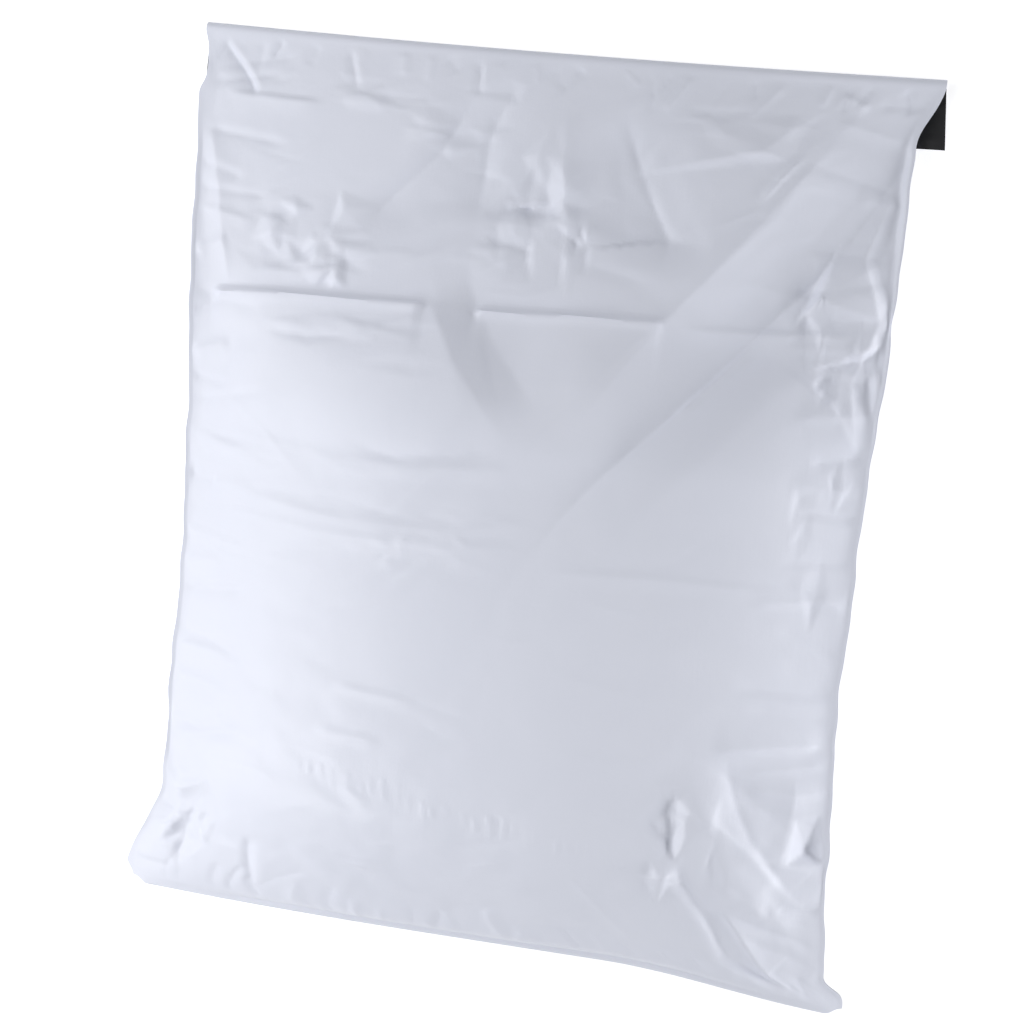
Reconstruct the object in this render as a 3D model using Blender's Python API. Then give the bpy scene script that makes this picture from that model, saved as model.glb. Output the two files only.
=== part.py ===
"""A plastic mailing envelope with soft goods inside, closed, lying on its back.

One film web is folded at the bottom into a bag and welded down both sides. The longer
front panel goes over the mouth at the top and down behind the bag as the closing flap.
Units are metres. X runs across the bag, Y from the folded bottom to the top, Z up.
The origin lies on the floor under the middle of the bag.

Places on a panel are shares: s runs across it from -1 to 1, and t runs up it from the
bottom fold (0) to the top fold (1).
"""

import math
import random

import bmesh
import bpy
import numpy as np

MM = 0.001

# The bag as it is made, flat and empty
FILM_WIDTH = 400 * MM
BAG_LENGTH = 500 * MM
FLAP_LENGTH = 36 * MM
WELD_WIDTH = 1.5 * MM
# The film is drawn stouter than the real 0.06 mm, so that the flap is a true solid
FILM = 0.8 * MM

# The soft goods inside, which fill the lower part of the bag
FILL_HEIGHT = 54 * MM
FILL_LENGTH = 308 * MM
FILL_FADE = 80 * MM
SLACK_HEIGHT = 31 * MM

# How the filled film lies at its four edges
SIDE_SEAM_HEIGHT = 19 * MM
END_SEAM_HEIGHT = 7 * MM
BOTTOM_ROLL = 10 * MM
TOP_ROLL = 8 * MM
MOUTH_HEIGHT = 4.4 * MM
END_RISE = 80 * MM
UNDERSIDE_FLANK = 24 * MM
BOTTOM_LIFT = 2 * MM
BOTTOM_LIFT_RUN = 20 * MM

# The flap under the top end of the bag
FLAP_GAP = 1.2 * MM
FLAP_LIFT_RUN = 60 * MM
FLAP_FLARE = 3 * MM
FLAP_CURL = 5 * MM
FLAP_CURL_WIDTH = 28 * MM

# Ears at the ends of the bottom fold. The right ear is short, and the bottom fold hangs
# down towards it
LEFT_EAR = 64 * MM
LEFT_EAR_REACH = 2 * MM
RIGHT_EAR = 16 * MM
RIGHT_EAR_REACH = 9 * MM
RIGHT_SWELL = 160 * MM
RIGHT_EAR_PART = 0.45
EAR_ROUND = 9 * MM
CORNER_DROOP = 10.5 * MM
DROOP_START = 0.35
BOTTOM_BOW = 3 * MM

# The left weld is tucked in beside the flap, so that a sliver of the flap shows
LEFT_TUCK = 2.5 * MM
LEFT_TUCK_RUN = 10 * MM

# How the sides come out again from the girth of the goods to the full width above
LEFT_TAPER_START = 170 * MM
RIGHT_TAPER_START = 230 * MM
EDGE_SWAY = 0.9 * MM
TOP_BOW = 2 * MM

# The bag is drawn a little to the left of its flap, near the top on its right side
RIGHT_DRAW = 15 * MM
RIGHT_DRAW_START = 265 * MM
RIGHT_DRAW_RUN = 270 * MM
RIGHT_TUCK_RUN = 34 * MM

# Film that the bulge takes from the width at each side, and from the length
LEFT_TAKE_UP = 0.34
RIGHT_TAKE_UP = 0.3
LENGTH_TAKE_UP = 0.3
FILLED_LENGTH = BAG_LENGTH - LENGTH_TAKE_UP * FILL_HEIGHT

# Cross-section of the bulge: a higher power gives a squarer shoulder
SHOULDER_POWER = 2.9
CROWN_POWER = 1.15
END_POWER = 1.6

# Heights of the folds and wrinkles in the front panel
STORAGE_CREASE = 3.2 * MM
TENSION_FOLD = 7 * MM
CORNER_FOLD = 6 * MM
DENT = 7 * MM
WRINKLE = 1.6 * MM
RUFFLE = 0.9 * MM
CRUMPLE = 2.2 * MM
BROAD_FOLD = 5 * MM
BACK_WRINKLE = 2.4 * MM
BACK_WRINKLE_PITCH = 34 * MM
BACK_WRINKLE_SEED = 7
RUFFLE_PITCH = 7.8 * MM
PUCKER = 1.4 * MM
PUCKER_PITCH = 17 * MM
PUCKER_SEED = 4
END_PUCKER = 1.1 * MM
END_PUCKER_PITCH = 16 * MM
CALM_EDGE = 4 * MM

# Grid of the film before it is thinned, and the share of triangles that is kept
COLUMNS = 150
ROWS = 180
TURN_ROWS = 6
FLAP_ROWS = 8
KEPT_SHARE = 0.098

WHITE_FILM = (0.66, 0.69, 0.76, 1)
BLACK_FILM = (0.012, 0.012, 0.014, 1)

HALF_WIDTH = FILM_WIDTH / 2
TOP_EDGE = (FILLED_LENGTH + CORNER_DROOP) / 2
BOTTOM_EDGE = TOP_EDGE - FILLED_LENGTH
FIN = 2 * FILM


def ease(value):
    """Smooth step from 0 to 1."""
    value = np.clip(value, 0, 1)
    return value * value * (3 - 2 * value)


def blend(low, high, share):
    """Value between low and high."""
    return low + (high - low) * share


def shoulder(s):
    """Cross-section of the bulge: 1 in the middle, 0 from the weld outwards."""
    inner = np.clip(np.abs(s) / (1 - WELD_WIDTH / HALF_WIDTH), 0, 1)
    return (1 - inner ** SHOULDER_POWER) ** CROWN_POWER


def underside(s):
    """Cross-section of the back: 1 where it lies flat, 0 from the weld outwards."""
    inner = np.clip(np.abs(s) / (1 - WELD_WIDTH / HALF_WIDTH), 0, 1)
    start = 1 - UNDERSIDE_FLANK / HALF_WIDTH
    return np.sqrt(1 - np.clip((inner - start) / (1 - start), 0, 1) ** 2)


def crown(y):
    """Height of the front along the middle, y being measured from the bottom fold."""
    bottom = END_SEAM_HEIGHT + BOTTOM_ROLL / 2
    rise = (1 - (1 - np.clip(y / END_RISE, 0, 1)) ** END_POWER) ** (1 / END_POWER)
    goods = blend(bottom, FILL_HEIGHT, rise)
    beyond = np.clip((y - FILL_LENGTH) / (FILLED_LENGTH - FILL_LENGTH), 0, 1)
    slack = blend(SLACK_HEIGHT, TOP_ROLL, beyond)
    return blend(goods, slack, ease((y - FILL_LENGTH) / FILL_FADE + 0.5))


def seam(y):
    """Height of the side welds, y being measured from the bottom fold."""
    rise = ease(y / END_RISE)
    fall = ease((y - FILL_LENGTH) / (FILLED_LENGTH - FILL_LENGTH))
    return blend(END_SEAM_HEIGHT, SIDE_SEAM_HEIGHT, rise * (1 - fall))


def belly(y):
    """Height of the back along the middle: 0 where it lies, and clear of the flap."""
    flap_edge = FILLED_LENGTH - FLAP_LENGTH
    over_edge = (FILM + FLAP_GAP) * ease((y - flap_edge) / FLAP_LIFT_RUN + 1)
    over_flap = np.clip((y - flap_edge) / FLAP_LENGTH, 0, 1)
    bottom = BOTTOM_LIFT * (1 - ease(y / BOTTOM_LIFT_RUN))
    return bottom + blend(over_edge, MOUTH_HEIGHT, over_flap)


def sway(y, seed):
    """Small irregular waves along an edge, between about -1 and 1."""
    dice = random.Random(seed)
    waves = np.zeros_like(y)
    for length in (0.11, 0.063, 0.037, 0.024):
        phase = dice.uniform(0, 2 * math.pi)
        waves = waves + np.sin(y * 2 * math.pi / length + phase) * length ** 0.5
    return waves / 0.8 * ease(y / EAR_ROUND) * ease((FILLED_LENGTH - y) / EAR_ROUND)


def left_x(y):
    """Place of the left weld, drawn in by the girth of the goods."""
    fade = ease((y - LEFT_TAPER_START) / (FILLED_LENGTH - LEFT_TAPER_START))
    ear = ease(y / LEFT_EAR)
    round_in = EAR_ROUND / 2 * (1 - ease(y / EAR_ROUND))
    from_top = FILLED_LENGTH - y
    tuck = ease((FLAP_LENGTH - from_top) / LEFT_TUCK_RUN) * ease(from_top / LEFT_TUCK_RUN)
    taken = LEFT_TAKE_UP * FILL_HEIGHT * ear * (1 - fade) + LEFT_TUCK * tuck
    return taken + round_in - HALF_WIDTH - LEFT_EAR_REACH * (1 - ear) + EDGE_SWAY * sway(y, 5)


def right_x(y):
    """Place of the right weld, drawn in by the goods and by the pull at its top."""
    fade = ease((y - RIGHT_TAPER_START) / (FILLED_LENGTH - RIGHT_TAPER_START))
    ear = ease(y / RIGHT_EAR)
    rise = blend(ease(y / RIGHT_SWELL), ear, RIGHT_EAR_PART)
    tuck = 1 - ease((y - FILLED_LENGTH) / RIGHT_TUCK_RUN + 1)
    pull = RIGHT_DRAW * ease((y - RIGHT_DRAW_START) / RIGHT_DRAW_RUN) * tuck
    taken = RIGHT_TAKE_UP * FILL_HEIGHT * rise * (1 - fade) + pull
    round_in = EAR_ROUND / 2 * (1 - ease(y / EAR_ROUND))
    return HALF_WIDTH + RIGHT_EAR_REACH * (1 - ear) - taken - round_in + EDGE_SWAY * sway(y, 8)


def droop(s):
    """How far the bottom fold hangs down: bowed, lower at its right end, round at the ears."""
    hang = CORNER_DROOP * ease((s - DROOP_START) / (1 - DROOP_START))
    bow = BOTTOM_BOW * (1 - s * s) * (1 - s) / 2
    corner = ease((np.abs(s) - 1) * HALF_WIDTH / EAR_ROUND + 1)
    return hang + bow - EAR_ROUND / 2 * corner


class Relief:
    """Height of the folds over the front panel, added up one by one."""

    def __init__(self, s, t):
        self.x = s * HALF_WIDTH
        self.y = t * FILLED_LENGTH
        self.height = np.zeros_like(self.x)

    def place(self, point):
        return point[0] * HALF_WIDTH, point[1] * FILLED_LENGTH

    def fold(self, points, height, left, right, fade=0.25):
        """Straight-flanked ridge along the points, or a valley if height is below 0.

        left and right are the widths of its flanks, seen along the line.
        """
        places = [self.place(point) for point in points]
        total = sum(math.dist(a, b) for a, b in zip(places, places[1:]))
        nearest = np.full_like(self.x, math.inf)
        rise = np.zeros_like(self.x)
        run = 0
        for (ax, ay), (bx, by) in zip(places, places[1:]):
            length = math.dist((ax, ay), (bx, by))
            ux = (bx - ax) / length
            uy = (by - ay) / length
            along = np.clip((self.x - ax) * ux + (self.y - ay) * uy, 0, length)
            off_x = self.x - ax - along * ux
            off_y = self.y - ay - along * uy
            away = np.hypot(off_x, off_y)
            flank = np.where(ux * off_y - uy * off_x > 0, left, right)
            share = (run + along) / total
            ends = np.clip(np.minimum(share, 1 - share) / fade, 0, 1)
            tent = np.clip(1 - away / flank, 0, 1) * ends
            rise = np.where(away < nearest, tent, rise)
            nearest = np.minimum(nearest, away)
            run += length
        self.height += height * rise

    def facet(self, corners, peak, height):
        """Pyramid over a convex outline given anticlockwise, sunk if height is below 0."""
        places = [self.place(corner) for corner in corners]
        top = self.place(peak)
        rise = np.full_like(self.x, math.inf)
        for (ax, ay), (bx, by) in zip(places, places[1:] + places[:1]):
            to_peak = (bx - ax) * (top[1] - ay) - (by - ay) * (top[0] - ax)
            to_here = (bx - ax) * (self.y - ay) - (by - ay) * (self.x - ax)
            rise = np.minimum(rise, to_here / to_peak)
        self.height += height * np.clip(rise, 0, 1)

    def crumple(self, centre, reach, count, height, seed):
        """Cluster of overlapping low pyramids, which leaves flat facets and sharp lines."""
        dice = random.Random(seed)
        for _ in range(count):
            middle = [at + far * dice.uniform(-0.8, 0.8) for at, far in zip(centre, reach)]
            size = [far * dice.uniform(0.25, 0.6) for far in reach]
            start = dice.uniform(0, 2 * math.pi)
            corners = []
            for number in range(4):
                angle = start + (number + dice.uniform(-0.35, 0.35)) * math.pi / 2
                x = middle[0] + size[0] * math.cos(angle)
                y = middle[1] + size[1] * math.sin(angle)
                corners.append((x, y))
            shares = [dice.uniform(0.05, 1) for _ in corners]
            peak_x = sum(share * x for share, (x, _) in zip(shares, corners)) / sum(shares)
            peak_y = sum(share * y for share, (_, y) in zip(shares, corners)) / sum(shares)
            sign = dice.choice((-1, 1))
            self.facet(corners, (peak_x, peak_y), sign * height * dice.uniform(0.5, 1))


def storage_crease(relief):
    """Crease from lying folded in its pack, broken by a diamond dent."""
    relief.fold(((-0.90, 0.699), (-0.25, 0.702)), STORAGE_CREASE, 6 * MM, 30 * MM, 0.08)
    relief.fold(((-0.12, 0.700), (0.42, 0.713)), STORAGE_CREASE, 6 * MM, 30 * MM, 0.08)
    relief.fold(((0.40, 0.713), (0.98, 0.732)), STORAGE_CREASE * 0.6, 6 * MM, 18 * MM)
    diamond = ((-0.26, 0.705), (0.02, 0.562), (-0.09, 0.705), (-0.19, 0.800))
    relief.facet(diamond, (-0.12, 0.690), -DENT)
    plate = ((0.01, 0.562), (0.16, 0.566), (0.39, 0.706), (-0.10, 0.690))
    relief.facet(plate, (0.12, 0.600), DENT * 0.5)
    left_plate = ((-0.60, 0.575), (-0.05, 0.560), (-0.27, 0.690), (-0.88, 0.688))
    relief.facet(left_plate, (-0.20, 0.610), DENT * 0.6)
    relief.crumple((-0.45, 0.655), (0.28, 0.030), 8, CRUMPLE * 0.6, 21)


def tension_band(relief):
    """Broad plane drawn from the top right corner down to the middle of the goods."""
    channel = ((1.10, 1.000), (0.81, 0.796), (0.59, 0.696), (0.22, 0.520), (0.00, 0.400))
    relief.fold(channel, -TENSION_FOLD, 11 * MM, 38 * MM, 0.3)
    relief.fold(((0.70, 0.742), (0.38, 0.585)), TENSION_FOLD * 0.25, 5 * MM, 8 * MM, 0.4)
    relief.fold(((0.72, 0.917), (0.60, 0.855)), WRINKLE, 4 * MM, 6 * MM)


def right_facets(relief):
    """Sharp facets where the film buckles along the upper right side."""
    upper = ((0.74, 0.735), (0.97, 0.748), (0.98, 0.822), (0.84, 0.835))
    relief.facet(upper, (0.80, 0.765), CORNER_FOLD)
    lower = ((0.77, 0.685), (0.88, 0.630), (0.98, 0.640), (0.97, 0.722))
    relief.facet(lower, (0.93, 0.705), -CORNER_FOLD * 0.8)
    relief.fold(((0.70, 0.690), (0.86, 0.655), (0.96, 0.600)), WRINKLE, 6 * MM, 16 * MM)
    relief.crumple((0.84, 0.700), (0.12, 0.085), 12, CRUMPLE, 14)
    relief.crumple((0.88, 0.520), (0.09, 0.100), 7, CRUMPLE * 0.6, 6)


def broad_folds(relief):
    """Wide shallow valleys in the slack film, which run down between the goods' lumps."""
    top_valley = ((-0.36, 1.050), (-0.42, 0.880), (-0.22, 0.730), (-0.02, 0.560))
    relief.fold(top_valley, -BROAD_FOLD, 30 * MM, 48 * MM, 0.3)
    side_valley = ((0.42, 1.020), (0.30, 0.860), (0.36, 0.740))
    relief.fold(side_valley, -BROAD_FOLD * 0.6, 26 * MM, 34 * MM, 0.3)
    relief.fold(((-0.02, 0.600), (0.02, 0.420), (-0.12, 0.180)), -WRINKLE, 46 * MM, 40 * MM, 0.4)


def top_folds(relief):
    """Planes and crumples in the slack film above the storage crease."""
    relief.fold(((-0.965, 0.905), (-0.87, 0.700)), CORNER_FOLD * 0.8, 8 * MM, 16 * MM)
    relief.fold(((-0.96, 0.990), (-0.82, 0.925)), -WRINKLE * 1.6, 4 * MM, 12 * MM)
    relief.fold(((-0.92, 0.930), (-0.62, 0.928)), WRINKLE, 3 * MM, 12 * MM)
    relief.fold(((0.02, 0.960), (0.00, 0.850), (0.06, 0.740)), DENT * 0.4, 16 * MM, 22 * MM)
    wedge = ((0.12, 0.780), (0.39, 0.775), (0.36, 0.865), (0.05, 0.930))
    relief.facet(wedge, (0.33, 0.810), -DENT)
    ledge = ((0.26, 0.880), (0.68, 0.905), (0.72, 0.960), (0.36, 0.955))
    relief.facet(ledge, (0.60, 0.915), DENT * 0.5)
    relief.fold(((0.74, 0.985), (0.84, 0.970)), WRINKLE, 4 * MM, 8 * MM)
    relief.crumple((-0.66, 0.770), (0.20, 0.055), 16, CRUMPLE, 3)
    relief.crumple((0.06, 0.830), (0.18, 0.085), 18, CRUMPLE, 11)
    relief.crumple((-0.30, 0.930), (0.30, 0.045), 10, CRUMPLE * 0.5, 9)
    relief.crumple((0.62, 0.920), (0.22, 0.045), 8, CRUMPLE * 0.5, 17)


def bottom_right_folds(relief):
    """Deep folds and crumples that gather towards the lower right corner."""
    rim = ((0.46, 0.215), (0.54, 0.180), (0.60, 0.137), (0.68, 0.125))
    relief.fold(rim, CORNER_FOLD * 0.5, 6 * MM, 12 * MM)
    relief.fold(((0.62, 0.270), (0.98, 0.288)), CORNER_FOLD * 0.8, 6 * MM, 22 * MM)
    valley = ((0.60, 0.250), (0.76, 0.166), (0.90, 0.095), (0.98, 0.060))
    relief.fold(valley, -CORNER_FOLD, 22 * MM, 18 * MM, 0.2)
    diamond = ((0.88, 0.178), (0.97, 0.150), (0.98, 0.205), (0.92, 0.225))
    relief.facet(diamond, (0.94, 0.190), -CORNER_FOLD * 0.7)
    relief.fold(((0.80, 0.230), (0.87, 0.140), (0.97, 0.120)), CORNER_FOLD * 0.6, 7 * MM, 12 * MM)
    relief.fold(((0.72, 0.100), (0.88, 0.012)), CORNER_FOLD * 0.5, 14 * MM, 7 * MM)
    relief.fold(((0.55, 0.120), (0.68, 0.060), (0.74, 0.015)), WRINKLE, 8 * MM, 12 * MM)
    relief.crumple((0.62, 0.160), (0.14, 0.070), 14, CRUMPLE, 31)
    relief.crumple((0.84, 0.200), (0.14, 0.080), 14, CRUMPLE, 8)
    relief.crumple((0.80, 0.070), (0.15, 0.050), 9, CRUMPLE * 0.8, 5)


def bottom_left_folds(relief):
    """Dent and short folds beside the lower left ear."""
    dent = ((-0.93, 0.060), (-0.84, 0.020), (-0.79, 0.060), (-0.88, 0.110))
    relief.facet(dent, (-0.87, 0.062), -CORNER_FOLD * 0.8)
    relief.fold(((-0.96, 0.120), (-0.84, 0.140)), CORNER_FOLD * 0.4, 7 * MM, 12 * MM)
    relief.fold(((-0.68, 0.085), (-0.60, 0.012)), -WRINKLE * 1.3, 8 * MM, 6 * MM)
    relief.crumple((-0.86, 0.085), (0.10, 0.060), 8, CRUMPLE * 0.7, 12)


def wrinkles(relief):
    """Shallow wrinkles over the goods: long ones across, ripples and a row of ruffles."""
    for height, bow in ((0.548, 0.012), (0.490, 0.022), (0.462, 0.012)):
        line = ((-0.93, height), (-0.55, height - bow), (-0.15, height - bow), (0.12, height))
        relief.fold(line, WRINKLE * 0.8, 7 * MM, 12 * MM)
    relief.fold(((0.10, 0.436), (0.88, 0.452)), WRINKLE * 0.5, 5 * MM, 8 * MM)
    relief.fold(((-0.46, 0.282), (-0.18, 0.276)), WRINKLE * 0.7, 4 * MM, 8 * MM)
    relief.fold(((-0.50, 0.230), (-0.28, 0.226)), WRINKLE * 0.7, 4 * MM, 8 * MM)
    relief.fold(((0.27, 0.107), (0.50, 0.022)), WRINKLE * 0.5, 8 * MM, 8 * MM)
    first, last = (-0.55, 0.183), (0.43, 0.128)
    count = round((last[0] - first[0]) * HALF_WIDTH / RUFFLE_PITCH)
    for number in range(count + 1):
        s = blend(first[0], last[0], number / count)
        t = blend(first[1], last[1], number / count)
        relief.fold(((s, t + 0.013), (s + 0.01, t - 0.013)), RUFFLE, 2.5 * MM, 2.5 * MM)


def side_puckers(relief):
    """Short folds that run in from the welds, where the flat film goes round the goods."""
    dice = random.Random(PUCKER_SEED)
    for side in (-1, 1):
        count = round(FILLED_LENGTH / PUCKER_PITCH)
        for number in range(1, count):
            t = (number + dice.uniform(-0.4, 0.4)) / count
            reach = dice.uniform(0.10, 0.30)
            start = (side * 0.99, t)
            end = (side * (0.99 - reach), t + dice.uniform(-0.03, 0.03))
            sign = dice.choice((-1, 1))
            height = sign * PUCKER * dice.uniform(0.5, 1)
            width = dice.uniform(4, 9) * MM
            relief.fold((start, end), height, width, width * 1.6)


def end_puckers(relief):
    """Short folds that cross the top fold and the bottom fold."""
    dice = random.Random(PUCKER_SEED)
    for near, far in ((0.995, 0.95), (0.004, 0.04)):
        count = round(FILM_WIDTH / END_PUCKER_PITCH)
        for number in range(count):
            s = 1.9 * (number + dice.uniform(0.1, 0.9)) / count - 0.95
            tip = (s + dice.uniform(-0.06, 0.06), blend(near, far, dice.uniform(0.4, 1.2)))
            sign = dice.choice((-1, 1))
            height = sign * END_PUCKER * dice.uniform(0.3, 1)
            width = dice.uniform(3, 7) * MM
            relief.fold(((s, near), tip), height, width, width * 1.5)


def front_relief(s, t):
    """Height of all the folds in the front panel, fading out at its edges."""
    relief = Relief(s, t)
    broad_folds(relief)
    storage_crease(relief)
    tension_band(relief)
    right_facets(relief)
    top_folds(relief)
    bottom_right_folds(relief)
    bottom_left_folds(relief)
    wrinkles(relief)
    side_puckers(relief)
    end_puckers(relief)
    from_side = HALF_WIDTH - WELD_WIDTH - np.abs(relief.x)
    from_end = np.minimum(relief.y, FILLED_LENGTH - relief.y)
    calm = ease(from_side / CALM_EDGE) * ease(from_end / CALM_EDGE)
    return relief.height * calm


def back_relief(s, t):
    """Folds that rise from the floor under the bag, thickest towards its bottom end."""
    relief = Relief(s, t)
    dice = random.Random(BACK_WRINKLE_SEED)
    length = FILLED_LENGTH - FLAP_LENGTH
    count = round(length / BACK_WRINKLE_PITCH)
    for number in range(count):
        place = (number + dice.uniform(0.2, 0.8)) / count * length / FILLED_LENGTH
        middle = dice.uniform(-0.5, 0.5)
        reach = dice.uniform(0.15, 0.5)
        slope = dice.uniform(-0.04, 0.04)
        line = ((middle - reach, place - slope), (middle, place), (middle + reach, place + slope))
        width = dice.uniform(6, 12) * MM
        relief.fold(line, BACK_WRINKLE * dice.uniform(0.4, 1), width, width * 1.5)
    return relief.height * underside(s) * ease(t * FILLED_LENGTH / BOTTOM_LIFT_RUN)


def back_height(s, t):
    """Height of the back panel's outer face."""
    y = t * FILLED_LENGTH
    edge = seam(y) - FIN / 2
    return blend(edge, belly(y), underside(s)) + back_relief(s, t)


def front_height(s, t):
    """Height of the front panel's outer face, never closer to the back than two films."""
    y = t * FILLED_LENGTH
    edge = seam(y) + FIN / 2
    height = blend(edge, crown(y), shoulder(s)) + front_relief(s, t)
    return np.maximum(height, back_height(s, t) + FIN)


def bottom_line(s):
    """Where the panels start along Y, inside the bottom fold's outer edge."""
    start = np.zeros_like(s)
    roll = (front_height(s, start) - back_height(s, start)) / 2
    return BOTTOM_EDGE + roll - droop(s)


def top_line(s):
    """Where the panels end along Y, so that the top fold's outer edge is nearly straight."""
    return TOP_EDGE - front_height(s, np.ones_like(s)) / 2 - TOP_BOW * (1 - s * s)


def plan(s, t):
    """X and Y of a place on either panel."""
    y = t * FILLED_LENGTH
    x = blend(left_x(y), right_x(y), (s + 1) / 2)
    return x, blend(bottom_line(s), top_line(s), t)


def front(s, t):
    return *plan(s, t), front_height(s, t)


def back(s, t):
    return *plan(s, t), back_height(s, t)


def flap_outer(s, t):
    """Outer face of the flap: it lies on the floor, and its right corner curls up."""
    x = s * HALF_WIDTH + FLAP_FLARE * ease(s) * t
    y = blend(top_line(s), TOP_EDGE - FLAP_LENGTH, t)
    lift = ease((s * HALF_WIDTH - HALF_WIDTH) / FLAP_CURL_WIDTH + 1)
    return x, y, FLAP_CURL * lift * t * t


def flap_inner(s, t):
    x, y, z = flap_outer(s, t)
    return x, y, z + FILM


def turn(upper, lower):
    """Half-round turn of the film between two lines, from the lower one to the upper."""
    def place(s, t):
        ax, ay, az = lower(s)
        bx, by, bz = upper(s)
        swing = np.pi * (t - 0.5)
        radius = (bz - az) / 2
        outward = np.sign(by) * radius * np.cos(swing)
        return blend(ax, bx, t), blend(ay, by, t) + outward, (az + bz) / 2 + radius * np.sin(swing)
    return place


def ruled(start, end):
    """Straight strip between two lines."""
    def place(s, t):
        pairs = zip(start(s), end(s))
        return tuple(blend(a, b, t) for a, b in pairs)
    return place


def line_across(surface, t):
    """The line across a surface at t."""
    return lambda s: surface(s, np.full_like(s, t))


def line_along(surface, side):
    """The line along one side of a surface, its s running from one end to the other."""
    return lambda s: surface(np.full_like(s, side), (spread(s) + 1) / 2)


def spread(share):
    """Grid lines drawn closer together towards both ends, where the film turns down."""
    return (share + np.sin(share * np.pi / 2)) / 2


def add_sheet(bm, columns, rows, place, material=0, keep_lines=False):
    """Grid primitive whose vertices go to their places on the film."""
    grid = bmesh.ops.create_grid(bm, x_segments=columns, y_segments=rows, size=1)
    verts = grid["verts"]
    s = np.array([vert.co.x for vert in verts], dtype=float)
    t = np.array([vert.co.y for vert in verts], dtype=float)
    if not keep_lines:
        s = spread(s)
        if rows == ROWS:
            t = spread(t)
    points = zip(*place(s, (t + 1) / 2))
    for vert, point in zip(verts, points):
        vert.co = point
    for face in {face for vert in verts for face in vert.link_faces}:
        face.material_index = material


def film_mesh():
    """The whole bag as one closed body: panels, turns and flap, joined at shared lines."""
    bm = bmesh.new()
    add_sheet(bm, COLUMNS, ROWS, front)
    add_sheet(bm, COLUMNS, ROWS, back)
    bottom = turn(line_across(front, 0), line_across(back, 0))
    top = turn(line_across(front, 1), line_across(flap_outer, 0))
    mouth = turn(line_across(back, 1), line_across(flap_inner, 0))
    add_sheet(bm, COLUMNS, TURN_ROWS, bottom)
    add_sheet(bm, COLUMNS, TURN_ROWS, top)
    add_sheet(bm, COLUMNS, TURN_ROWS // 2, mouth, 1)
    add_sheet(bm, COLUMNS, FLAP_ROWS, flap_outer)
    add_sheet(bm, COLUMNS, FLAP_ROWS, flap_inner, 1)
    free_edge = ruled(line_across(flap_outer, 1), line_across(flap_inner, 1))
    add_sheet(bm, COLUMNS, 1, free_edge)
    for side in (-1, 1):
        weld = ruled(line_along(back, side), line_along(front, side))
        add_sheet(bm, ROWS, 1, weld, 0, True)
    bmesh.ops.remove_doubles(bm, verts=bm.verts, dist=FILM / 100)
    bmesh.ops.holes_fill(bm, edges=bm.edges)
    bmesh.ops.recalc_face_normals(bm, faces=bm.faces)
    bmesh.ops.triangulate(bm, faces=bm.faces)
    mesh = bpy.data.meshes.new("envelope")
    bm.to_mesh(mesh)
    bm.free()
    return mesh


def film_material(name, colour, roughness):
    material = bpy.data.materials.new(name)
    material.use_nodes = True
    shader = material.node_tree.nodes["Principled BSDF"]
    shader.inputs["Base Color"].default_value = colour
    shader.inputs["Roughness"].default_value = roughness
    shader.inputs["Metallic"].default_value = 0
    material.diffuse_color = colour
    return material


def build_envelope(collection):
    """The filled envelope, thinned so that its triangles gather at the folds."""
    mesh = film_mesh()
    mesh.materials.append(film_material("white film outside", WHITE_FILM, 0.35))
    mesh.materials.append(film_material("black film inside", BLACK_FILM, 0.4))
    envelope = bpy.data.objects.new("envelope", mesh)
    collection.objects.link(envelope)
    thin = envelope.modifiers.new("thin", "DECIMATE")
    thin.ratio = KEPT_SHARE
    mesh.shade_smooth()
    return envelope


def main():
    for old in list(bpy.data.objects):
        bpy.data.objects.remove(old)
    collection = bpy.data.collections.new("plastic_mailing_envelope")
    bpy.context.scene.collection.children.link(collection)
    build_envelope(collection)


main()
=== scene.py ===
# %% [markdown]
# # A filled plastic mailing envelope
# The real thing is one web of plastic film, white outside and black inside. It is folded at
# the bottom, welded down both sides, filled with soft goods, and closed by folding its long
# front panel over the mouth as a flap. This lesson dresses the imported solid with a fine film
# whose creases catch the light, because on glossy film the creases are what the eye sees.

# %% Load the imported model
import math
import random

import bmesh
import bpy
import numpy as np
from mathutils import Matrix, Vector, kdtree


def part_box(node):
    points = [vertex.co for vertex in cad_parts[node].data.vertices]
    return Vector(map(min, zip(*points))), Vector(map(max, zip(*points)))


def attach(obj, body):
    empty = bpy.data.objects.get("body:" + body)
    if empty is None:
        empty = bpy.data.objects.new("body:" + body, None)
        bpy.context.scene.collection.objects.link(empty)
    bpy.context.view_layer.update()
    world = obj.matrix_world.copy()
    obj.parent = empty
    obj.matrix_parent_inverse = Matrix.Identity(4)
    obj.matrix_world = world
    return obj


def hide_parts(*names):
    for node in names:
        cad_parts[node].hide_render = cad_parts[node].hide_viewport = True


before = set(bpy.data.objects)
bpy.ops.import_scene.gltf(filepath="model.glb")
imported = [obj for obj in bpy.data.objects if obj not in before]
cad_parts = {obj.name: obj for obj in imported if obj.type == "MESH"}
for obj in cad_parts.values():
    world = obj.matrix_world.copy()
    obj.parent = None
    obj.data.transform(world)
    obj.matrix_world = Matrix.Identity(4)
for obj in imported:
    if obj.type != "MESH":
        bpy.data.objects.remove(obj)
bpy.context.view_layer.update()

MM = 0.001

# %% [markdown]
# ## Camera
# The photograph looks almost straight at the front of the envelope, a little from its right
# and turned a few degrees. The envelope lies on its back here, so the camera looks down.

# %% Camera
CAMERA_YAW = 10.6
CAMERA_PITCH = -4.8
CAMERA_ROLL = 6.1
CAMERA_DISTANCE = 1.084
CAMERA_TARGET = Vector((-0.003, -0.0015, 0.0))
CAMERA_LENS = 70


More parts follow.
